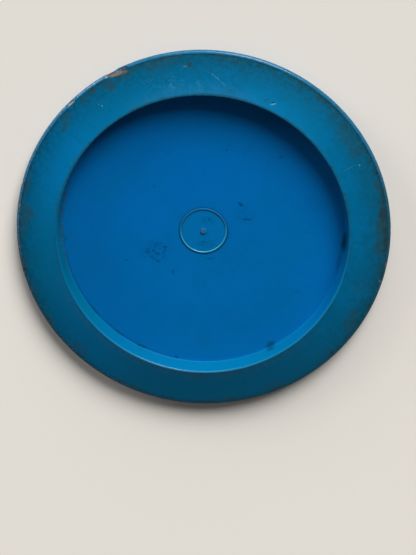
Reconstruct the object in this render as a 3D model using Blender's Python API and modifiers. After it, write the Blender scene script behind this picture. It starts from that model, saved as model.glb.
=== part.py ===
# Golf disc: one injection moulding with a wide tapered rim round a thin flight plate.
# It lies on its flight plate with its open side up. Metres, +Z up.
# The origin is the middle of the flight plate's outer face.

import math

import bpy
from mathutils import Vector

# Rim, seen from the open side
DISC_DIAMETER = 0.2110
RIM_WIDTH = 0.0238  # lip of the inner wall to the nose
RIM_DEPTH = 0.0120  # lip down to the plate's inner face at the wall
WALL_DRAFT = math.radians(3.0)  # the wall opens towards the lip, to leave the mould
LIP_ROUND = 0.0005
LIP_FLAT = 0.0004  # the narrow flat that the disc stands on the right way up
ROOT_ROUND = 0.0009  # between the plate and the wall

# Nose, the outer edge that leads in flight
NOSE_ROUND = 0.0018
NOSE_DROP = 0.0070  # lip down to the widest circle
UNDERSIDE_NOSE_SLOPE = math.radians(11.5)
UNDERSIDE_LIP_SLOPE = math.radians(20.0)
SHOULDER_NOSE_SLOPE = math.radians(26.0)
SHOULDER_HANDLE = 0.0060  # how far each end of the shoulder keeps its direction
UNDERSIDE_HANDLE = 0.0065

# Flight plate
PLATE_THICKNESS = 0.0020
PLATE_FLAT_RADIUS = 0.0550
PLATE_RISE = 0.0012  # from the flat middle to the wall

# Ring bead and gate nub in the middle of the plate's inner face
BEAD_RADIUS = 0.0129
BEAD_WIDTH = 0.0011
BEAD_HEIGHT = 0.0005
GATE_RADIUS = 0.0018
GATE_HEIGHT = 0.0007
GATE_ROUND = 0.0003

TURN_STEPS = 72
MERGE_DISTANCE = 0.00001

PLASTIC_BLUE = (0.004, 0.115, 0.335, 1.0)
PLASTIC_ROUGHNESS = 0.42


def clear_scene():
    for old in list(bpy.data.objects):
        bpy.data.objects.remove(old, do_unlink=True)


def plastic():
    material = bpy.data.materials.new("blue_moulded_plastic")
    material.use_nodes = True
    shader = material.node_tree.nodes["Principled BSDF"]
    shader.inputs["Base Color"].default_value = PLASTIC_BLUE
    shader.inputs["Roughness"].default_value = PLASTIC_ROUGHNESS
    shader.inputs["Metallic"].default_value = 0.0
    material.diffuse_color = PLASTIC_BLUE
    return material


def polar(centre, radius, angle):
    """The point at this angle on a circle, from +R towards +Z."""
    return Vector((centre.x + radius * math.cos(angle), centre.y + radius * math.sin(angle)))


def arc(centre, radius, start, end, steps):
    return [polar(centre, radius, start + (end - start) * i / steps) for i in range(steps + 1)]


def rounded_corner(before, corner, after, radius, steps):
    """An arc of this radius in a corner, tangent to both of its sides."""
    back = (before - corner).normalized()
    ahead = (after - corner).normalized()
    half = math.acos(back.dot(ahead)) / 2
    middle = corner + (back + ahead).normalized() * (radius / math.sin(half))
    first = corner + back * (radius / math.tan(half)) - middle
    last = corner + ahead * (radius / math.tan(half)) - middle
    start = math.atan2(first.y, first.x)
    turn = math.atan2(first.x * last.y - first.y * last.x, first.dot(last))
    return arc(middle, radius, start, start + turn, steps)


def smooth_run(start, start_direction, start_handle, end, end_direction, end_handle, steps):
    """A curve that leaves start and reaches end along the given directions."""
    first = start + start_direction * start_handle
    second = end - end_direction * end_handle
    points = []
    for i in range(steps + 1):
        t = i / steps
        s = 1 - t
        points.append(start * s**3 + first * (3 * s * s * t) + second * (3 * s * t * t) + end * t**3)
    return points


DISC_RADIUS = DISC_DIAMETER / 2
LIP_RADIUS = DISC_RADIUS - RIM_WIDTH
ROOT_RADIUS = LIP_RADIUS - RIM_DEPTH * math.tan(WALL_DRAFT)
ROOT_Z = PLATE_THICKNESS + PLATE_RISE
LIP_Z = ROOT_Z + RIM_DEPTH
NOSE_CENTRE = Vector((DISC_RADIUS - NOSE_ROUND, LIP_Z - NOSE_DROP))

# The plate leaves its flat along an arc that reaches PLATE_RISE at the wall.
PLATE_RUN = ROOT_RADIUS - PLATE_FLAT_RADIUS
PLATE_ARC = (PLATE_RUN**2 + PLATE_RISE**2) / (2 * PLATE_RISE)
PLATE_TURN = math.asin(PLATE_RUN / PLATE_ARC)
PLATE_END_DIRECTION = Vector((math.cos(PLATE_TURN), math.sin(PLATE_TURN)))


def plate_curve(thickness, steps):
    """The rise of the plate from its flat to the wall, on the face at this height."""
    middle = Vector((PLATE_FLAT_RADIUS, thickness + PLATE_ARC))
    straight_down = -math.pi / 2
    return arc(middle, PLATE_ARC, straight_down, straight_down + PLATE_TURN, steps)


def gate_outline():
    top = PLATE_THICKNESS + GATE_HEIGHT
    rim = Vector((GATE_RADIUS, top))
    foot = Vector((GATE_RADIUS, PLATE_THICKNESS))
    middle = Vector((0.0, top))
    return [middle] + rounded_corner(middle, rim, foot, GATE_ROUND, 2) + [foot]


def bead_outline():
    """A low round bead: a piece of a circle with the bead's width as its chord."""
    radius = (BEAD_WIDTH**2 / 4 + BEAD_HEIGHT**2) / (2 * BEAD_HEIGHT)
    middle = Vector((BEAD_RADIUS, PLATE_THICKNESS + BEAD_HEIGHT - radius))
    foot_angle = math.asin((PLATE_THICKNESS - middle.y) / radius)
    return arc(middle, radius, math.pi - foot_angle, foot_angle, 5)


def wall_outline():
    """The plate's outer stretch, the root, the inner wall and the lip."""
    face = plate_curve(PLATE_THICKNESS, 4)
    root = Vector((ROOT_RADIUS, ROOT_Z))
    lip = Vector((LIP_RADIUS, LIP_Z))
    flat_end = Vector((LIP_RADIUS + LIP_ROUND + LIP_FLAT, LIP_Z))
    root_arc = rounded_corner(face[-2], root, lip, ROOT_ROUND, 3)
    lip_arc = rounded_corner(root, lip, flat_end, LIP_ROUND, 5)
    return face[:-1] + root_arc + lip_arc + [flat_end]


def nose_outline(flat_end):
    """The underside, hollowed a little, then the nose and the shoulder down to the plate."""
    under_angle = math.pi / 2 - UNDERSIDE_NOSE_SLOPE
    shoulder_angle = SHOULDER_NOSE_SLOPE - math.pi / 2
    nose = arc(NOSE_CENTRE, NOSE_ROUND, under_angle, shoulder_angle, 8)
    lip_direction = Vector((math.cos(UNDERSIDE_LIP_SLOPE), -math.sin(UNDERSIDE_LIP_SLOPE)))
    nose_direction = Vector((math.cos(UNDERSIDE_NOSE_SLOPE), -math.sin(UNDERSIDE_NOSE_SLOPE)))
    underside = smooth_run(
        flat_end, lip_direction, UNDERSIDE_HANDLE, nose[0], nose_direction, UNDERSIDE_HANDLE, 6
    )
    shoulder_direction = Vector((-math.cos(SHOULDER_NOSE_SLOPE), -math.sin(SHOULDER_NOSE_SLOPE)))
    plate = plate_curve(0.0, 3)
    shoulder = smooth_run(
        nose[-1], shoulder_direction, SHOULDER_HANDLE, plate[-1], -PLATE_END_DIRECTION, SHOULDER_HANDLE, 8
    )
    return underside[1:] + nose[1:] + shoulder[1:] + plate[-2::-1] + [Vector((0.0, 0.0))]


def disc_profile():
    wall = wall_outline()
    return gate_outline() + bead_outline() + wall + nose_outline(wall[-1])


def turned_object(name, profile, collection):
    """A solid turned about Z from a profile that runs from the axis, over the outside, back to the axis."""
    mesh = bpy.data.meshes.new(name)
    points = [(point.x, 0.0, point.y) for point in profile]
    mesh.from_pydata(points, [(i, i + 1) for i in range(len(points) - 1)], [])
    turned = bpy.data.objects.new(name, mesh)
    collection.objects.link(turned)
    screw = turned.modifiers.new("turn", "SCREW")
    screw.axis = "Z"
    screw.angle = math.tau
    screw.steps = TURN_STEPS
    screw.render_steps = TURN_STEPS
    screw.use_merge_vertices = True
    screw.merge_threshold = MERGE_DISTANCE
    screw.use_smooth_shade = True
    return turned


def main():
    clear_scene()
    collection = bpy.data.collections.new("golf_disc_parts")
    bpy.context.scene.collection.children.link(collection)
    disc = turned_object("golf_disc", disc_profile(), collection)
    disc.data.materials.append(plastic())


main()
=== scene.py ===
import math
import random

import bmesh
import bpy
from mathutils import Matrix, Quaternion, Vector, kdtree


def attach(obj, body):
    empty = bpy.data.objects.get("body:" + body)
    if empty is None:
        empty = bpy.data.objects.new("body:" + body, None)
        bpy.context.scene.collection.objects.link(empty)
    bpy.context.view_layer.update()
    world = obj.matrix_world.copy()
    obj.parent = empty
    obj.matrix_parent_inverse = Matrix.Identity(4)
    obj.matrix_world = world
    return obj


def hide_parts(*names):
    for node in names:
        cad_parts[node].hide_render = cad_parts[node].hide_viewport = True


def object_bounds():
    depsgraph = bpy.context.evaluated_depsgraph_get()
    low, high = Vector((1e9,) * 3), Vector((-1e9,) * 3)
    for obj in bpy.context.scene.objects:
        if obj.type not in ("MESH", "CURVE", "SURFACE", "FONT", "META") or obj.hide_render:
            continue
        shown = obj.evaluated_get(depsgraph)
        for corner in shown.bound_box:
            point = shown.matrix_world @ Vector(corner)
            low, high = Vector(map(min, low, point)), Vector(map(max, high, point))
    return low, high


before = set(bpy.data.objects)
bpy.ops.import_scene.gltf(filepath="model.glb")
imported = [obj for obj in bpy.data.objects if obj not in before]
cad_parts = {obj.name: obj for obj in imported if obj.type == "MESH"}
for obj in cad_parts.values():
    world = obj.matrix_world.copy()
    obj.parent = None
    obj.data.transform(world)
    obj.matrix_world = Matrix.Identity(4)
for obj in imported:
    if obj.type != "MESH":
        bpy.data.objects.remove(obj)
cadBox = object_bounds()
mm = 0.001
up = Vector((0, 0, 1))
print("frame loaded, box in mm", [round(side / mm, 2) for side in cadBox[1] - cadBox[0]])


class Socket:  # a node's output that takes part in Python expressions
    def __init__(self, tree, out=None):
        self.tree = tree
        self.out = out

    def make(self, kind, settings=None, values=None, output=0):
        node = self.tree.nodes.new(kind)
        for name, value in (settings or {}).items():
            setattr(node, name, value)
        for key, value in (values or {}).items():
            if isinstance(value, Socket):
                self.tree.links.new(value.out, node.inputs[key])
            else:
                node.inputs[key].default_value = value
        return Socket(self.tree, node.outputs[output])

    def math(self, operation, *values):
        return self.make("ShaderNodeMath", {"operation": operation}, dict(enumerate(values)))

    def __add__(self, other):
        return self.math("ADD", self, other)

    def __sub__(self, other):
        return self.math("SUBTRACT", self, other)

    def __rsub__(self, other):
        return self.math("SUBTRACT", other, self)

    def __mul__(self, other):
        return self.math("MULTIPLY", self, other)

    def __truediv__(self, other):
        return self.math("DIVIDE", self, other)

    def __pow__(self, other):
        return self.math("POWER", self, other)

    __radd__ = __add__
    __rmul__ = __mul__


def paint(red, green, blue):  # an sRGB colour, 0 to 255, as the linear one that sockets take
    def level(value):
        share = value / 255
        return share / 12.92 if share <= 0.04045 else ((share + 0.055) / 1.055) ** 2.4

    return (level(red), level(green), level(blue), 1.0)


def step(value, low, high, start=0.0, end=1.0):  # an eased step from start to end
    values = {"Value": value, "From Min": low, "From Max": high, "To Min": start, "To Max": end}
    return value.make("ShaderNodeMapRange", {"interpolation_type": "SMOOTHSTEP"}, values)


def noise(place, scale, detail=3.0, rough=0.55, output="Fac"):
    values = {"Vector": place, "Scale": scale, "Detail": detail, "Roughness": rough}
    return place.make("ShaderNodeTexNoise", {}, values, output)


def blend(under, over, share):  # over laid on under, by share
    return share.make("ShaderNodeMix", {"data_type": "RGBA"}, {0: share, 6: under, 7: over}, 2)


# The disc: one moulding, turned from its cross-section, open side up
discSizes = {
    "radius": cadBox[1].x,
    "height": cadBox[1].z,
    "rimWidth": 23.8 * mm,  # lip to nose
    "rimDepth": 12.0 * mm,  # lip to the plate at the wall
    "wallDraft": math.radians(3.0),
    "lipRound": 0.5 * mm,
    "lipFlat": 0.4 * mm,
    "rootRound": 0.9 * mm,
    "noseRound": 1.8 * mm,
    "noseDrop": 7.0 * mm,  # lip to the widest circle
    "underNoseSlope": math.radians(11.5),
    "underLipSlope": math.radians(20.0),
    "underHandle": 6.5 * mm,
    "shoulderSlope": math.radians(26.0),
    "shoulderHandle": 6.0 * mm,
    "plateThick": 2.0 * mm,
    "plateFlat": 55.0 * mm,  # radius of the flat middle
    "plateRise": 1.2 * mm,
    "beadRadius": 12.9 * mm,
    "beadWidth": 1.1 * mm,
    "beadHeight": 0.5 * mm,
    "gateRadius": 1.8 * mm,
    "gateHeight": 0.7 * mm,
    "gateRound": 0.3 * mm,
    "turnSteps": 360,
    "edgeCuts": 3,  # more cuts round the edge, where the wear is
    "edgeFrom": 98.0 * mm,
    "weld": 0.001 * mm,
    "smoothAngle": math.radians(38.0),
}


def polar(centre, radius, angle):
    return Vector((centre.x + radius * math.cos(angle), centre.y + radius * math.sin(angle)))


def arc(centre, radius, start, end, steps):
    return [polar(centre, radius, start + (end - start) * i / steps) for i in range(steps + 1)]


def roundCorner(before, corner, after, radius, steps):
    back = (before - corner).normalized()
    ahead = (after - corner).normalized()
    half = math.acos(back.dot(ahead)) / 2
    middle = corner + (back + ahead).normalized() * (radius / math.sin(half))
    first = corner + back * (radius / math.tan(half)) - middle
    last = corner + ahead * (radius / math.tan(half)) - middle
    start = math.atan2(first.y, first.x)
    turn = math.atan2(first.x * last.y - first.y * last.x, first.dot(last))
    return arc(middle, radius, start, start + turn, steps)


def straight(start, end, steps):  # points between two others, without them
    return [start.lerp(end, i / steps) for i in range(1, steps)]


def easedRun(start, startWay, end, endWay, handle, steps):
    first = start + startWay * handle
    second = end - endWay * handle
    points = []
    for i in range(steps + 1):
        t = i / steps
        s = 1 - t
        points.append(start * s**3 + first * (3 * s * s * t) + second * (3 * s * t * t) + end * t**3)
    return points


def noseCentre(sizes):
    return Vector((sizes["radius"] - sizes["noseRound"], sizes["height"] - sizes["noseDrop"]))


def plateCurve(sizes, height, steps):  # the plate's rise from its flat to the wall
    run = sizes["rootRadius"] - sizes["plateFlat"]
    bow = (run**2 + sizes["plateRise"] ** 2) / (2 * sizes["plateRise"])
    turn = math.asin(run / bow)
    points = arc(Vector((sizes["plateFlat"], height + bow)), bow, -math.pi / 2, turn - math.pi / 2, steps)
    return points, Vector((math.cos(turn), math.sin(turn)))


def gateAndBead(sizes):
    face = sizes["plateThick"]
    gateTop = face + sizes["gateHeight"]
    middle = Vector((0.0, gateTop))
    gateRim = Vector((sizes["gateRadius"], gateTop))
    gateFoot = Vector((sizes["gateRadius"], face))
    gate = [middle] + roundCorner(middle, gateRim, gateFoot, sizes["gateRound"], 4) + [gateFoot]
    bow = (sizes["beadWidth"] ** 2 / 4 + sizes["beadHeight"] ** 2) / (2 * sizes["beadHeight"])
    beadMiddle = Vector((sizes["beadRadius"], face + sizes["beadHeight"] - bow))
    foot = math.asin((face - beadMiddle.y) / bow)
    bead = arc(beadMiddle, bow, math.pi - foot, foot, 8)
    return gate + straight(gateFoot, bead[0], 5) + bead


def crossSection(sizes):
    lip = Vector((sizes["radius"] - sizes["rimWidth"], sizes["height"]))
    root = Vector((sizes["rootRadius"], sizes["height"] - sizes["rimDepth"]))
    middle = gateAndBead(sizes)
    face, way = plateCurve(sizes, sizes["plateThick"], 10)
    lipEnd = lip + Vector((sizes["lipRound"] + sizes["lipFlat"], 0))
    rootArc = roundCorner(face[-2], root, lip, sizes["rootRound"], 5)
    lipArc = roundCorner(root, lip, lipEnd, sizes["lipRound"], 8)
    wall = straight(rootArc[-1], lipArc[0], 6)
    nose = arc(
        noseCentre(sizes),
        sizes["noseRound"],
        math.pi / 2 - sizes["underNoseSlope"],
        sizes["shoulderSlope"] - math.pi / 2,
        14,
    )
    lipWay = Vector((math.cos(sizes["underLipSlope"]), -math.sin(sizes["underLipSlope"])))
    noseWay = Vector((math.cos(sizes["underNoseSlope"]), -math.sin(sizes["underNoseSlope"])))
    under = easedRun(lipEnd, lipWay, nose[0], noseWay, sizes["underHandle"], 30)
    back, backWay = plateCurve(sizes, 0.0, 6)
    shoulderWay = Vector((-math.cos(sizes["shoulderSlope"]), -math.sin(sizes["shoulderSlope"])))
    shoulder = easedRun(nose[-1], shoulderWay, back[-1], -backWay, sizes["shoulderHandle"], 24)
    plate = straight(middle[-1], face[0], 7) + face[:-1]
    top = back[-2::-1] + straight(back[0], Vector((0.0, 0.0)), 6) + [Vector((0.0, 0.0))]
    return middle + plate + rootArc + wall + lipArc + under + nose[1:] + shoulder[1:] + top


def turnPiece(name, points, sizes):
    bpy.ops.object.select_all(action="DESELECT")
    bpy.ops.mesh.primitive_plane_add(size=mm)
    piece = bpy.context.object
    piece.name = name
    piece.data.name = name
    bpy.ops.object.mode_set(mode="EDIT")
    bpy.ops.mesh.merge(type="CENTER")
    bpy.ops.transform.translate(value=(points[0].x, 0, points[0].y))
    for before, after in zip(points, points[1:]):
        move = (after.x - before.x, 0, after.y - before.y)
        bpy.ops.mesh.extrude_region_move(TRANSFORM_OT_translate={"value": move})
    bpy.ops.mesh.select_all(action="SELECT")
    bpy.ops.mesh.spin(steps=sizes["turnSteps"], angle=math.tau, center=(0, 0, 0), axis=(0, 0, 1))
    bpy.ops.mesh.select_all(action="SELECT")
    bpy.ops.mesh.remove_doubles(threshold=sizes["weld"])
    bpy.ops.mesh.select_all(action="SELECT")
    bpy.ops.mesh.normals_make_consistent(inside=False)
    bpy.ops.object.mode_set(mode="OBJECT")
    return piece


def cutEdgeFiner(piece, sizes):  # splits the circles near the edge into shorter steps
    bpy.ops.object.mode_set(mode="EDIT")
    bpy.ops.mesh.select_mode(type="EDGE")
    bpy.ops.mesh.select_all(action="DESELECT")
    mesh = bmesh.from_edit_mesh(piece.data)
    for edge in mesh.edges:
        a, b = (vertex.co for vertex in edge.verts)
        sameHeight = abs(a.z - b.z) < sizes["weld"]
        sameRadius = abs(a.xy.length - b.xy.length) < sizes["weld"]
        edge.select_set(sameHeight and sameRadius and a.xy.length > sizes["edgeFrom"])
    bmesh.update_edit_mesh(piece.data)
    bpy.ops.mesh.subdivide(number_cuts=sizes["edgeCuts"], ngon=False)
    bpy.ops.mesh.select_mode(type="VERT")
    bpy.ops.object.mode_set(mode="OBJECT")


def buildDisc(sizes):
    wallLean = sizes["rimDepth"] * math.tan(sizes["wallDraft"])
    sizes["rootRadius"] = sizes["radius"] - sizes["rimWidth"] - wallLean
    piece = turnPiece("wornDisc", crossSection(sizes), sizes)
    cutEdgeFiner(piece, sizes)
    print("disc turned,", len(piece.data.vertices), "points")
    return piece


disc = buildDisc(discSizes)


# Wear on the edge. A place is a turn from +X and a tilt round the nose: 0 is outward, 90 the open side.
wearSizes = {
    "gouges": [  # turn and tilt in degrees; length, width and depth in mm
        (123.0, 74, 12.0, 1.5, 0.75),
        (124.6, 28, 7.0, 2.2, 0.60),
        (120.6, 66, 4.0, 1.2, 0.35),
        (140.0, 62, 6.5, 1.0, 0.40),
        (138.4, 48, 2.0, 1.2, 0.35),
        (177.0, 60, 3.2, 1.0, 0.35),
        (-168.0, 58, 2.4, 0.9, 0.30),
        (-161.0, 52, 2.0, 0.9, 0.30),
        (-156.0, 60, 1.6, 0.8, 0.25),
        (-2.0, 40, 1.6, 0.9, 0.30),
        (-8.0, 66, 1.4, 0.7, 0.25),
    ],
    "nicks": 46,
    "nickLength": (0.7, 2.6),
    "nickWidth": (0.5, 0.9),
    "nickDepth": (0.10, 0.26),
    "nickTilt": (-40, 82),
    "falloff": 0.75,  # soft side of a dent, as a share of its width
    "scuffDepth": 0.10 * mm,
    "scuffGrain": 1.3 * mm,
    "scuffStart": 2.0 * mm,  # inside the nose's centre circle
    "scuffEase": 2.5 * mm,
    "warpDepth": 0.22 * mm,
    "warpGrain": 38 * mm,
    "warpEnd": 2.0 * mm,  # short of the wall
    "warpEase": 12 * mm,
    "seed": 7,
}


def pressDent(piece, tree, sizes, dent, falloff):
    turn, tilt = math.radians(dent[0]), math.radians(dent[1])
    length, width, depth = (size * mm for size in dent[2:])
    outward = Vector((math.cos(turn), math.sin(turn), 0))
    along = Vector((-math.sin(turn), math.cos(turn), 0))
    facing = outward * math.cos(tilt) + up * math.sin(tilt)
    nose = noseCentre(sizes)
    middle = outward * nose.x + up * nose.y + facing * sizes["noseRound"]
    bpy.ops.mesh.select_all(action="DESELECT")
    mesh = bmesh.from_edit_mesh(piece.data)
    mesh.verts.ensure_lookup_table()
    for place, index, distance in tree.find_range(middle, max(length, width) / 2):
        offset = place - middle
        far = offset.dot(along)
        across = (offset - along * far).length
        if (2 * far / length) ** 2 + (2 * across / width) ** 2 < 1:
            mesh.verts[index].select_set(True)
    bmesh.update_edit_mesh(piece.data)
    bpy.ops.transform.translate(
        value=facing * -depth,
        use_proportional_edit=True,
        proportional_edit_falloff="SMOOTH",
        proportional_size=width * falloff,
    )


def weightGroup(piece, name, weightAt):
    group = piece.vertex_groups.new(name=name)
    for vertex in piece.data.vertices:
        weight = weightAt(vertex.co.xy.length, vertex.co.z)
        if weight > 0:
            group.add([vertex.index], min(weight, 1), "REPLACE")


def roughen(piece, group, grain, depth, middle):
    texture = bpy.data.textures.new(group, "CLOUDS")
    texture.noise_scale = grain
    texture.noise_depth = 2
    displace = piece.modifiers.new(group, "DISPLACE")
    displace.texture = texture
    displace.texture_coords = "LOCAL"
    displace.vertex_group = group
    displace.strength = depth
    displace.mid_level = middle
    bpy.ops.object.modifier_apply(modifier=group)


def wearDisc(piece, sizes, wear):
    chance = random.Random(wear["seed"])
    dents = list(wear["gouges"])
    for i in range(wear["nicks"]):
        turn = chance.uniform(-180, 180)
        parts = [chance.uniform(*wear[key]) for key in ("nickTilt", "nickLength", "nickWidth", "nickDepth")]
        dents.append((turn, *parts))
    tree = kdtree.KDTree(len(piece.data.vertices))
    for vertex in piece.data.vertices:
        tree.insert(vertex.co, vertex.index)
    tree.balance()
    bpy.ops.object.mode_set(mode="EDIT")
    for dent in dents:
        pressDent(piece, tree, sizes, dent, wear["falloff"])
    bpy.ops.object.mode_set(mode="OBJECT")
    scuffFrom = noseCentre(sizes).x - wear["scuffStart"]
    warpTo = sizes["rootRadius"] - wear["warpEnd"]

    def edgeWeight(radius, height):
        return (radius - scuffFrom) / wear["scuffEase"]

    def plateWeight(radius, height):  # the open face only
        return (warpTo - radius) / wear["warpEase"] if height > sizes["plateThick"] / 2 else 0

    weightGroup(piece, "edgeWear", edgeWeight)
    roughen(piece, "edgeWear", wear["scuffGrain"], -wear["scuffDepth"], 0.0)
    weightGroup(piece, "plateWarp", plateWeight)
    roughen(piece, "plateWarp", wear["warpGrain"], wear["warpDepth"], 0.5)
    bpy.ops.object.shade_smooth_by_angle(angle=sizes["smoothAngle"])
    piece.vertex_groups.clear()
    print("edge worn with", len(dents), "dents")


wearDisc(disc, discSizes, wearSizes)


# The plastic: blue all through, under a film of dirt and scuffs, with painted light and shade in places.
# Lengths in mm, turns in degrees from +X.
plasticLook = {
    "plate": paint(0, 97, 163),
    "plateTeal": paint(0, 98, 148),
    # random dull tone, and painted shade on the plate's lower side
    "plateDullAndShade": paint(0, 78, 120),
    # painted light for the plate's upper side
    "plateLit": paint(0, 100, 177),
    # smudges, and the painted shadow round the bead's foot
    "plateSmudgeAndShadow": paint(0, 54, 80),
    "rim": paint(0, 99, 148),
    "rimFilm": paint(0, 90, 128),
    # painted shade for the rim's bottom side
    "rimShade": paint(4, 81, 115),
    "rimTeal": paint(0, 86, 118),
    "rimBlue": paint(0, 87, 132),
    "rimClear": paint(0, 104, 149),
    "filmBlue": paint(2, 66, 90),
    "film": paint(12, 66, 82),
    "patch": paint(30, 65, 74),
    "brown": paint(34, 46, 44),
    "soot": paint(18, 26, 32),
    "scar": paint(102, 92, 78),
    "scarDark": paint(72, 54, 46),
    "rust": paint(132, 92, 62),
    "pale": paint(120, 172, 196),
    "edge": paint(0, 96, 136),
    "edgeDull": paint(31, 77, 94),
    "seam": paint(0, 46, 66),
    # painted shade, with some dirt, for the lip's top side
    "lipShadeAndDirt": paint(22, 72, 84),
    # painted highlight for the lip's bottom side
    "lipHighlight": paint(28, 126, 160),
    "cornerDirt": paint(38, 64, 72),
    "wall": paint(0, 98, 140),
    "wallShadedTones": [  # painted light and shade on the wall, partly film: turn, how near the turn a tone starts (a cosine), tone
        (18, 0.5, paint(0, 84, 122)),
        (340, 0.85, paint(0, 102, 157)),
        (208, 0.86, paint(0, 100, 130)),
        (164, 0.86, paint(0, 124, 168)),
        (182, 0.95, paint(0, 112, 148)),
    ],
    "ringInside": paint(0, 102, 161),
    "beadDull": paint(40, 82, 86),
    # painted highlight, with some wear, for the bead's lower half
    "beadHighlight": paint(40, 140, 172),
    "gateScar": paint(64, 84, 90),
    "rubTurns": (22, -38, 71),
    "rubSize": (26.0, 0.55, 1.0),  # along and across a rub
    "roughness": 0.44,
    "specular": 0.035,
    "coatRoughness": 0.2,
    "relief": 0.35,
    "reliefDepth": 0.05 * mm,
}

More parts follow.
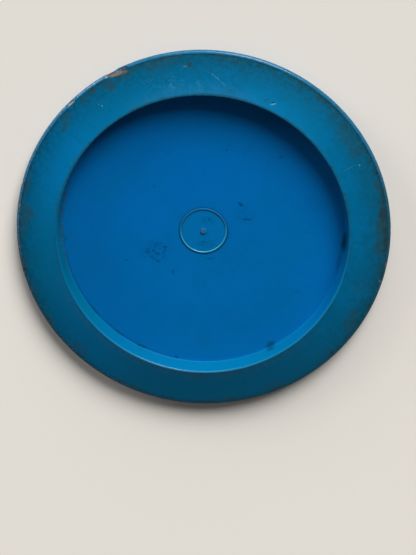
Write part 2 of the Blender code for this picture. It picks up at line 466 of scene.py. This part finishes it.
rimMarks = {  # turn, radius, half length round the disc, half width, tilt off the circle, strength
    "film": [
        (24, 101.8, 4.6, 2.8, 0, 0.65),
        (28, 103.0, 3.0, 1.4, 0, 0.70),
        (38, 98.4, 6.0, 6.0, 0, 0.40),
        (44, 97.8, 7.0, 5.5, -10, 0.38),
        (50, 101.2, 6.0, 3.2, 0, 0.30),
        (58, 102.2, 5.5, 2.4, 0, 0.50),
        (66, 101.8, 3.0, 2.6, 30, 0.35),
        (73, 86.6, 2.4, 1.6, 0, 0.40),
        (88, 102.2, 9.0, 2.6, 0, 0.50),
        (100.5, 97.9, 2.4, 1.5, 0, 0.85),
        (106, 101.8, 7.0, 2.6, 0, 0.60),
        (109, 102.6, 3.2, 1.5, 0, 0.80),
        (111, 100.8, 9.0, 3.8, 0, 0.55),
        (121, 101.2, 8.0, 3.0, 0, 0.60),
        (118, 102.6, 6.0, 1.6, 0, 0.50),
        (128.5, 101.8, 5.0, 2.2, 0, 0.55),
        (126.5, 98.8, 3.8, 2.8, 20, 0.80),
        (132.4, 102.4, 3.2, 2.2, 0, 0.95),
        (136, 101.0, 4.0, 3.0, 0, 0.40),
        (144.5, 101.0, 3.6, 3.4, -25, 0.65),
        (147, 98.4, 2.6, 2.6, 0, 0.70),
        (154, 83.4, 3.5, 0.9, 0, 0.75),
        (170, 102.4, 9.0, 2.0, 0, 0.60),
        (175, 103.2, 6.0, 1.2, 0, 0.70),
        (178.5, 100.8, 4.5, 4.0, 0, 0.75),
        (179.4, 96.8, 2.8, 3.0, 30, 0.70),
        (182, 100.5, 6.0, 4.2, -25, 0.78),
        (186, 102.3, 5.0, 2.2, 0, 0.65),
        (196, 102.4, 8.0, 2.0, 0, 0.42),
        (206, 102.4, 8.0, 2.0, 0, 0.50),
        (216, 102.4, 8.0, 1.8, 0, 0.50),
        (231, 100.4, 8.0, 4.4, 0, 0.38),
        (252, 102.8, 18.0, 1.6, 0, 0.55),
        (275, 86.0, 5.0, 2.0, 0, 0.45),
        (285, 102.8, 22.0, 1.6, 0, 0.55),
        (300, 101.0, 9.0, 3.2, 0, 0.35),
        (322.5, 102.4, 3.0, 2.4, 0, 0.75),
        (333, 102.0, 5.0, 2.6, 0, 0.50),
        (335, 99.5, 7.0, 5.0, 0, 0.55),
        (338.6, 96.8, 3.6, 3.0, 0, 0.65),
        (348, 93.0, 8.0, 6.0, 0, 0.15),
        (356, 102.2, 7.0, 2.4, 0, 0.60),
        (2.3, 97.0, 1.4, 3.4, 0, 0.50),
        (4, 100.2, 8.0, 4.4, 0, 0.85),
        (10, 100.0, 8.0, 4.8, 0, 0.85),
        (17, 101.6, 5.0, 2.6, 0, 0.60),
    ],
    "brown": [
        (2.2, 102.0, 1.2, 2.6, 0, 0.50),
        (4.5, 102.8, 7.5, 1.7, 0, 0.90),
        (8.5, 102.4, 5.0, 2.2, 0, 0.75),
        (13.6, 100.2, 2.2, 1.8, 0, 0.80),
        (14.0, 101.4, 5.6, 3.4, 0, 1.0),
        (18.5, 102.6, 4.6, 1.8, 0, 0.85),
        (22, 103.4, 5.0, 0.9, 0, 0.60),
        (27.6, 103.4, 1.6, 0.8, 0, 0.80),
        (34, 103.6, 8.0, 0.6, 0, 0.50),
        (47.5, 103.2, 1.6, 0.7, 0, 0.60),
        (52, 103.6, 10.0, 0.5, 0, 0.50),
        (57, 102.6, 1.4, 0.8, 0, 0.50),
        (60, 104.5, 4.5, 0.9, 0, 0.30),
        (100.5, 97.9, 1.4, 0.8, 0, 0.55),
        (109, 103.2, 5.0, 0.9, 0, 0.60),
        (132.2, 103.0, 2.2, 1.3, 0, 0.85),
        (172, 103.4, 8.0, 1.0, 0, 0.85),
        (197, 104.2, 9.0, 0.7, 0, 0.80),
        (217.5, 103.2, 6.5, 1.0, 0, 0.50),
        (277, 103.6, 9.0, 0.5, 0, 0.70),
        (286, 103.0, 1.4, 1.2, 0, 0.60),
        (301, 103.2, 7.0, 1.2, 0, 0.45),
        (323, 103.0, 1.6, 1.3, 0, 0.85),
        (343, 103.8, 2.2, 1.0, 0, 0.70),
        (354, 104.0, 7.0, 0.8, 0, 0.60),
    ],
    "scar": [
        (123.6, 103.4, 8.4, 1.15, -12, 1.0),
        (121.4, 102.8, 2.4, 0.6, -12, 0.8),
        (140.0, 104.2, 2.5, 0.8, 0, 0.85),
        (177.0, 104.3, 0.9, 0.9, 0, 0.9),
        (191.2, 104.4, 1.6, 0.7, 0, 0.85),
        (196.6, 104.7, 0.8, 0.5, 0, 0.8),
        (199.4, 104.8, 0.7, 0.4, 0, 0.7),
        (104.2, 104.4, 0.8, 0.5, 0, 0.5),
    ],
    "scarDark": [
        (121.2, 104.0, 2.8, 0.8, -10, 0.9),
        (125.0, 104.8, 2.8, 0.4, -6, 0.7),
        (139.0, 104.4, 0.6, 0.5, 0, 0.9),
        (141.2, 103.6, 0.6, 0.5, 0, 0.9),
    ],
    "rust": [
        (351.8, 103.7, 1.4, 0.5, 50, 0.75),
        (357.6, 104.7, 1.2, 0.5, 0, 0.75),
    ],
    "pale": [
        (32.6, 96.2, 0.5, 0.5, 0, 0.7),
        (33.4, 90.0, 0.35, 4.5, 0, 0.08),
        (93.0, 93.0, 1.8, 0.30, -32, 0.22),
        (91.4, 91.3, 2.6, 0.30, -32, 0.24),
        (89.2, 88.9, 2.6, 0.28, -32, 0.14),
        (70.0, 86.2, 2.2, 0.5, 37, 0.40),
        (102.0, 97.4, 1.4, 0.5, 0, 0.20),
        (132.6, 92.8, 0.5, 0.6, 0, 0.35),
        (133.2, 94.4, 0.4, 0.4, 0, 0.25),
        (140.6, 104.4, 1.5, 0.5, 0, 0.80),
    ],
    "soot": [
        (70.3, 86.9, 1.6, 0.30, 37, 0.95),
        (28.0, 103.4, 0.9, 0.5, 0, 0.7),
        (26.4, 104.0, 0.7, 0.4, 0, 0.6),
    ],
}

scratchPatches = [  # where the rim is finely scratched, as plateMarks
    (-26.6, 86.0, 12.0, 6.5, 17, 1.0),
    (-10.0, 87.0, 10.0, 5.0, 5, 0.8),
    (-38.0, 84.0, 8.0, 5.0, 25, 0.7),
]

plateMarks = [  # x, y, half length, half width, turn, strength
    (-29.9, -16.6, 2.0, 1.0, -30, 0.65),
    (-27.4, -15.2, 1.2, 0.5, 20, 0.45),
    (-24.6, -17.0, 1.8, 1.0, 0, 0.40),
    (-25.2, -11.4, 3.0, 1.6, 10, 0.35),
    (-20.6, -12.6, 2.4, 0.8, 5, 0.60),
    (-23.6, -21.6, 1.7, 0.8, 15, 0.75),
    (-26.6, -20.0, 2.6, 0.45, -35, 0.55),
    (-31.6, -19.4, 1.4, 0.4, -20, 0.40),
    (-42.0, -23.4, 2.0, 1.0, 5, 0.50),
    (-14.8, -27.0, 0.9, 2.1, 0, 0.60),
    (-1.8, -26.0, 1.6, 1.2, 0, 0.20),
    (19.0, 18.2, 2.6, 1.0, -32, 0.90),
    (23.8, 9.8, 4.2, 0.8, 4, 0.85),
    (8.0, 48.8, 1.2, 0.6, 0, 0.75),
    (37.8, 48.4, 1.9, 0.7, 30, 0.85),
    (-25.1, 43.0, 1.2, 0.8, 0, 0.35),
    (-3.3, 33.9, 1.0, 0.7, 0, 0.35),
    (-30.4, 22.8, 1.4, 0.8, 0, 0.35),
    (57.7, 6.2, 1.2, 0.8, 0, 0.45),
    (57.4, -30.1, 1.6, 0.9, 0, 0.45),
    (46.7, -64.7, 4.6, 2.6, 50, 0.75),
    (-7.0, -79.6, 1.5, 0.9, 0, 0.85),
    (-27.6, -75.2, 4.4, 1.1, -18, 0.80),
    (-42.0, -68.4, 6.0, 0.8, -31, 0.55),
    (-58.0, -55.2, 8.0, 0.8, -46, 0.50),
    (-77.3, -14.1, 1.6, 0.8, 75, 0.60),
    (5.7, -16.2, 3.4, 1.2, 10, 0.40),
    (80.0, 3.4, 2.0, 8.5, 0, 0.95),
    (78.6, -9.0, 1.6, 8.0, -6, 0.35),
]

plateHaze = [  # patches of fine specks, as plateMarks
    (-25.5, -15.5, 12.0, 8.5, 10, 0.95),
    (1.5, 6.2, 5.5, 3.6, 0, 0.85),
    (2.6, -7.4, 7.5, 3.8, 8, 0.95),
    (22.0, 13.0, 8.0, 8.0, 0, 0.30),
    (16.0, -14.0, 6.0, 8.0, 0, 0.25),
]


def moved(place, offset, scale=1.0):
    return place.make("ShaderNodeMapping", {}, {"Vector": place, "Location": offset, "Scale": (scale,) * 3})


def layMarks(place, rows, soft):  # the strongest of many oval marks, each turned from +X
    total = None
    for x, y, along, across, turn, strength in rows:
        values = {
            "Vector": place,
            "Location": (x, y, 0),
            "Rotation": (0, 0, math.radians(turn)),
            "Scale": (along, across, 1000),
        }
        local = place.make("ShaderNodeMapping", {"vector_type": "TEXTURE"}, values)
        near = local.make("ShaderNodeTexGradient", {"gradient_type": "SPHERICAL"}, {0: local}, "Fac")
        mask = step(near, 0, 1 - soft, 0, strength)
        total = mask if total is None else place.math("MAXIMUM", total, mask)
    return total


def onRim(rows):  # marks placed by turn and radius, as rows for layMarks
    placed = []
    for turn, radius, along, across, tilt, strength in rows:
        angle = math.radians(turn)
        place = (radius * math.cos(angle), radius * math.sin(angle))
        placed.append((*place, along, across, turn + 90 + tilt, strength))
    return placed


def ring(value, middle, half, soft):  # 1 on a circle or level, easing to 0
    away = value.math("ABSOLUTE", value - middle)
    return step(away, half + soft, half)


def shaken(place, scale, reach):  # places moved about a little, for ragged outlines
    sources = (place, moved(place, (137.0, 61.0, 29.0)))
    moves = [(noise(source, scale, 3, 0.6) - 0.5) * reach for source in sources]
    return moved(place, place.make("ShaderNodeCombineXYZ", values=dict(enumerate(moves))))


def plasticMaterial(look, sizes):
    material = bpy.data.materials.new("wornBluePlastic")
    material.use_nodes = True
    tree = material.node_tree
    shader = tree.nodes["Principled BSDF"]
    shader.inputs["Specular IOR Level"].default_value = look["specular"]
    shader.inputs["Coat Roughness"].default_value = look["coatRoughness"]
    start = Socket(tree)
    noseAt = sizes["radius"] / mm
    lipAt = noseAt - sizes["rimWidth"] / mm
    beadAt = sizes["beadRadius"] / mm
    gateAt = sizes["gateRadius"] / mm
    face = sizes["plateThick"] / mm
    top = sizes["height"] / mm
    foot = top - sizes["rimDepth"] / mm  # the wall's foot
    here = moved(start.make("ShaderNodeTexCoord", output="Object"), (0, 0, 0), 1 / mm)
    x, y, z = (here.make("ShaderNodeSeparateXYZ", values={0: here}, output=axis) for axis in "XYZ")
    radius = start.math("SQRT", x * x + y * y)

    def side(turn, low, high):  # 1 on the side of the disc that faces this turn
        angle = math.radians(turn)
        return step((x * math.cos(angle) + y * math.sin(angle)) / radius, low, high)

    def turned(repeats, spread):  # places that follow the circles, for streaks
        values = {0: x / radius * repeats, 1: y / radius * repeats, 2: radius * spread}
        return start.make("ShaderNodeCombineXYZ", values=values)

    openSide = step(z - start.math("MAXIMUM", radius - lipAt, 0) * 0.27, 1.3, 1.9)
    cloud = noise(here, 0.11, 4, 0.6)
    blotch = noise(here, 0.42, 4, 0.65)
    speck = noise(here, 1.5, 3, 0.6)
    streak = noise(turned(26, 0.8), 1.0, 4, 0.65)  # along the circles
    radial = noise(turned(80, 0.12), 1.0, 3, 0.6)  # across them
    grain = step(blotch * 0.4 + speck * 0.3 + streak * 0.3, 0.40, 0.60)
    ragged = shaken(here, 0.28, 6.0)
    crisp = shaken(here, 1.4, 0.9)

    # plate and rim
    colour = blend(look["plate"], look["plateTeal"], step(noise(here, 0.03, 3, 0.5), 0.44, 0.68) * 0.3)
    colour = blend(colour, look["plateDullAndShade"], step(cloud * 0.6 + blotch * 0.4, 0.46, 0.66) * 0.16)
    # painted shade: the plate darker on its lower side, more so towards the wall
    lowPlateShade = step(radius, 35, 80) * side(262, 0.0, 0.7) * openSide
    colour = blend(colour, look["plateDullAndShade"], lowPlateShade * 0.35)
    # painted light: the plate lighter on its upper side, in a band round the middle
    clear = side(115, 0.0, 0.6) * ring(radius, 34, 10, 12) * openSide
    colour = blend(colour, look["plateLit"], clear * 0.4)
    rim = step(radius, lipAt + 0.5, lipAt + 1.0) * openSide
    right = side(10, -0.7, 0.5)
    # painted shade: the rim darker on its bottom side, with less film there
    low = side(275, 0.4, 1.0)
    film = step(cloud * 0.5 + blotch * 0.25 + right * 0.25, 0.40, 0.72)
    rimColour = blend(blend(look["rim"], look["rimFilm"], film), look["rimShade"], low)
    rimColour = blend(rimColour, look["filmBlue"], step(radial, 0.5, 0.75) * 0.2)
    rimColour = blend(rimColour, look["filmBlue"], step(noise(here, 0.22, 4, 0.65), 0.5, 0.68) * 0.15)
    teal = side(118, 0.85, 1.0) * 0.55 + side(205, 0.75, 1.0) * 0.6
    rimColour = blend(rimColour, look["rimTeal"], teal * (0.6 + blotch * 0.8))
    rimColour = blend(rimColour, look["rimBlue"], side(228, 0.9, 1.0) * 0.6)
    rimColour = blend(rimColour, look["rimClear"], side(64, 0.92, 1.0) * 0.5)
    colour = blend(colour, rimColour, rim)
    dustySides = side(262, 0.3, 0.8) + side(100, 0.86, 1.0)
    dusty = step(radius, lipAt + 9, lipAt + 2) * dustySides * rim
    colour = blend(colour, look["pale"], dusty * step(radial * 0.5 + speck * 0.5, 0.38, 0.64) * 0.05)

    # dirt that thickens towards the edge
    outer = start.math("MAXIMUM", (radius - lipAt - 4.3) / 18, 0) ** 1.6 * rim
    filmTone = blend(look["filmBlue"], look["film"], right)
    colour = blend(colour, filmTone, outer * (0.55 + grain * 0.65) * (1 - low * 0.6))
    patches = layMarks(ragged, onRim(rimMarks["film"]), 0.55)
    shoulder = step(radius, lipAt + 1, noseAt - 1) * (1 - openSide)
    colour = blend(colour, look["filmBlue"], shoulder * (0.2 + grain * 0.5))
    colour = blend(colour, look["patch"], patches * (0.45 + grain * 0.6) * (rim + shoulder * 0.8))
    upperEdge = side(105, -0.1, 0.5)
    nose = step(radius, noseAt - 1.9, noseAt - 1.3)
    chipped = step(blotch * 0.5 + speck * 0.5, 0.48, 0.60)
    edgeTone = blend(look["edgeDull"], look["edge"], upperEdge * (1 - chipped * 0.5))
    colour = blend(colour, edgeTone, nose * openSide * 0.9)
    fringe = step(radius, noseAt - 4.5, noseAt - 2.0) * step(noise(here, 0.9, 4, 0.7), 0.50, 0.64)
    colour = blend(colour, look["brown"], fringe * rim * (0.5 - side(128, 0.3, 0.9) * 0.35))
    flecks = noise(moved(here, (53.0, 17.0, 5.0)), 0.8, 3, 0.65)
    edgeBand = step(radius, noseAt - 3.2, noseAt - 1.8) * openSide
    lowerLeft = side(215, 0.3, 0.85)
    colour = blend(colour, look["soot"], edgeBand * step(flecks, 0.53, 0.60) * (0.15 + lowerLeft * 0.6))
    colour = blend(colour, look["scar"], edgeBand * step(flecks, 0.42, 0.36) * lowerLeft * 0.6)
    brown = layMarks(shaken(here, 0.45, 3.0), onRim(rimMarks["brown"]), 0.4)
    brownGrain = step(speck * 0.6 + blotch * 0.4, 0.40, 0.58)
    colour = blend(colour, look["brown"], brown * (0.4 + brownGrain * 0.6) * (0.6 + openSide * 0.4))
    seam = ring(radius, noseAt - 2.0, 0.1, 0.4) * rim * (0.3 + upperEdge * 0.4)
    colour = blend(colour, look["seam"], seam * step(streak, 0.3, 0.6))

    # lip, wall and corner
    lip = step(z, top - 0.45, top - 0.1) * step(radius, lipAt + 1.2, lipAt + 0.9)
    upperLip = side(95, -0.5, 0.4)
    lowerLip = side(285, 0.1, 0.7)
    shinyLip = side(268, 0.75, 1.0)
    colour = blend(colour, look["wall"], lip * 0.7)
    # painted shade with some grey dirt: the top of the lip darker, where it rounds over towards the wall's
    # shadow
    colour = blend(colour, look["lipShadeAndDirt"], lip * upperLip * (0.45 + step(blotch, 0.4, 0.6) * 0.4))
    # painted highlight: the lip lighter on its bottom side
    colour = blend(colour, look["lipHighlight"], lip * lowerLip * 0.4)
    groove = ring(radius, lipAt + 1.25, 0.15, 0.4) * rim
    colour = blend(colour, look["brown"], groove * step(cloud, 0.36, 0.58) * 0.4)
    wall = step(radius, lipAt - 1.1, lipAt - 0.7) * (1 - rim) * openSide
    # painted light and shade: the wall lighter or darker by side, partly a greener film
    wallShadedTone = look["wall"]
    for turn, fromCosine, tone in look["wallShadedTones"]:
        wallShadedTone = blend(wallShadedTone, tone, side(turn, fromCosine, 1.0))
    colour = blend(colour, wallShadedTone, wall * (1 - lip) * 0.9)
    corner = step(radius, lipAt - 3.1, lipAt - 0.9) * step(z, foot + 2.4, foot + 0.4) * openSide
    cornerGrain = step(blotch * 0.6 + speck * 0.4, 0.36, 0.62)
    colour = blend(colour, look["cornerDirt"], corner * cornerGrain * side(183, 0.88, 1.0) * 0.8)
    root = ring(radius, lipAt - 1.7, 0.3, 0.6) * step(z, foot + 1.2, foot + 0.2) * openSide
    colour = blend(colour, look["seam"], root * side(226, 0.7, 0.95) * (0.1 + blotch * 0.4))

    # ring bead and gate
    inside = step(radius, beadAt, beadAt - 0.8) * openSide
    colour = blend(colour, look["ringInside"], inside * 0.8)
    upperBead = side(100, -0.35, 0.45)
    # painted shadow: a dark ring round the bead's foot, strongest on the lower side
    beadShadow = ring(radius, beadAt + 0.35, 0.75, 0.6) * step(z, face + 0.3, face) * openSide
    colour = blend(colour, look["plateSmudgeAndShadow"], beadShadow * (0.75 - upperBead * 0.4))
    bead = ring(radius, beadAt, 0.55, 0.25) * step(z, face, face + 0.2)
    colour = blend(colour, look["beadDull"], bead * upperBead * (0.35 + step(blotch, 0.4, 0.6) * 0.35))
    # painted highlight, with some pale wear: the lower half of the bead lighter
    colour = blend(colour, look["beadHighlight"], bead * (1 - upperBead) * 0.8)
    gate = step(radius, gateAt + 0.1, gateAt - 0.7) * openSide
    colour = blend(colour, look["gateScar"], gate * step(speck, 0.3, 0.6) * 0.8)

    # long rubs on the closed side, where the disc slides along the ground
    rubbed = step(cloud * 0.5 + blotch * 0.5, 0.40, 0.62) * (1 - openSide)
    colour = blend(colour, look["pale"], rubbed * 0.05)
    for turn in look["rubTurns"]:
        values = {"Vector": here, "Rotation": (0, 0, math.radians(turn)), "Scale": look["rubSize"]}
        line = noise(here.make("ShaderNodeMapping", {"vector_type": "TEXTURE"}, values), 1.0, 2, 0.5)
        colour = blend(colour, look["pale"], step(line, 0.62, 0.70) * rubbed * 0.22)

    # single marks
    haze = layMarks(here, plateHaze, 0.3) * step(noise(here, 0.55, 4, 0.7), 0.44, 0.64)
    colour = blend(colour, look["plateSmudgeAndShadow"], haze * openSide * 0.65)
    belowLip = step(z, top - 5.7, top - 9.7)  # smudges fade up the wall
    smudge = layMarks(shaken(here, 0.8, 2.0), plateMarks, 0.35) * belowLip
    colour = blend(colour, look["plateSmudgeAndShadow"], smudge * (0.7 + grain * 0.3) * openSide)
    slanted = {"Vector": here, "Rotation": (0, 0, math.radians(160)), "Scale": (2.4, 0.8, 1.0)}
    scratch = noise(here.make("ShaderNodeMapping", {"vector_type": "TEXTURE"}, slanted), 1.0, 3, 0.6)
    scratched = layMarks(here, scratchPatches, 0.2) * rim
    colour = blend(colour, look["pale"], scratched * step(scratch, 0.54, 0.68) * 0.12)
    colour = blend(colour, look["filmBlue"], scratched * step(scratch, 0.46, 0.34) * 0.25)
    for name, soft in (("pale", 0.4), ("soot", 0.45), ("rust", 0.4)):
        colour = blend(colour, look[name], layMarks(crisp, onRim(rimMarks[name]), soft) * openSide)
    scarTone = blend(look["scarDark"], look["scar"], step(speck * 0.5 + blotch * 0.5, 0.34, 0.52))
    colour = blend(colour, scarTone, layMarks(crisp, onRim(rimMarks["scar"]), 0.5) * openSide)
    colour = blend(colour, look["scarDark"], layMarks(crisp, onRim(rimMarks["scarDark"]), 0.4) * openSide)

    roughness = look["roughness"] + (cloud - 0.5) * 0.2 + outer * 0.12 - nose * 0.1
    coat = nose * (upperEdge * 0.4 + side(152, 0.6, 1.0) * 0.42) * (1.2 - chipped * 0.6)
    coat = coat + lip * shinyLip * 0.6
    coat = coat + bead * side(262, 0.2, 1.0) * 0.8
    tree.links.new(colour.out, shader.inputs["Base Color"])
    tree.links.new(roughness.out, shader.inputs["Roughness"])
    tree.links.new(coat.out, shader.inputs["Coat Weight"])
    height = speck + blotch * 0.5
    values = {"Strength": look["relief"], "Distance": look["reliefDepth"], "Height": height}
    relief = start.make("ShaderNodeBump", values=values)
    tree.links.new(relief.out, shader.inputs["Normal"])
    return material


disc.data.materials.append(plasticMaterial(plasticLook, discSizes))
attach(disc, "root")
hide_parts("golf_disc")
print("plastic made")


# Floor, light and camera
stageLook = {
    "floor": paint(226, 221, 213),
    "floorSize": 14.0,
    "floorGap": 0.1 * mm,  # below the plate, so that the two faces don't meet
    "ambient": 0.11,
    "lampDistance": 3.0,
    "lamps": [  # turn from +X, height above the floor, width of the light, strength
        (75, 34, 32, 3.3),
        (92, 18, 46, 2.0),
        (148, 13, 26, 1.2),
    ],
}


def floorMaterial(look):
    material = bpy.data.materials.new("paleFloor")
    material.use_nodes = True
    shader = material.node_tree.nodes["Principled BSDF"]
    shader.inputs["Base Color"].default_value = look["floor"]
    shader.inputs["Roughness"].default_value = 0.9
    shader.inputs["Specular IOR Level"].default_value = 0.0
    return material


def buildStage(look):
    bpy.ops.object.select_all(action="DESELECT")
    bpy.ops.mesh.primitive_plane_add(size=look["floorSize"], location=(0, 0, -look["floorGap"]))
    floor = bpy.context.object
    floor.name = "floor"
    floor.data.materials.append(floorMaterial(look))
    world = bpy.data.worlds.new("room")
    bpy.context.scene.world = world
    world.use_nodes = True
    background = world.node_tree.nodes["Background"]
    start = Socket(world.node_tree)
    seen = start.make("ShaderNodeLightPath", output="Is Camera Ray")
    for ray in ("Is Glossy Ray", "Is Transmission Ray"):
        seen = start.math("MAXIMUM", seen, start.make("ShaderNodeLightPath", output=ray))
    ambient = (look["ambient"],) * 3 + (1.0,)
    shown = blend(ambient, look["floor"], seen)
    world.node_tree.links.new(shown.out, background.inputs["Color"])
    for turn, height, width, strength in look["lamps"]:
        bpy.ops.object.light_add(type="SUN")
        lamp = bpy.context.object
        lamp.data.energy = strength
        lamp.data.angle = math.radians(width)
        aside, lift = math.radians(turn), math.radians(height)
        flat = math.cos(lift)
        source = Vector((math.cos(aside) * flat, math.sin(aside) * flat, math.sin(lift)))
        lamp.location = source * look["lampDistance"]
        lamp.rotation_euler = source.to_track_quat("Z", "Y").to_euler()
    print("stage set")


buildStage(stageLook)

cameraView = {
    "place": Vector((0.02, 283.5, 805.6)) * mm,
    "aim": Vector((5.67, -22.85, 15.2)) * mm,
    "roll": math.radians(-174.27),  # the photograph's top is towards +Y
    "focal": 1500,  # in pixels of the 416 by 555 frame
    "frameHeight": 555,
}


def placeCamera(look):
    bpy.ops.object.camera_add(location=look["place"])
    camera = bpy.context.object
    level = (look["aim"] - look["place"]).to_track_quat("-Z", "Y")
    camera.rotation_mode = "QUATERNION"
    camera.rotation_quaternion = level @ Quaternion((0, 0, 1), look["roll"])
    camera.data.lens = look["focal"] / look["frameHeight"] * camera.data.sensor_width
    camera.data.clip_start = 0.01
    bpy.context.scene.camera = camera


placeCamera(cameraView)
bpy.context.scene.view_settings.view_transform = "Standard"
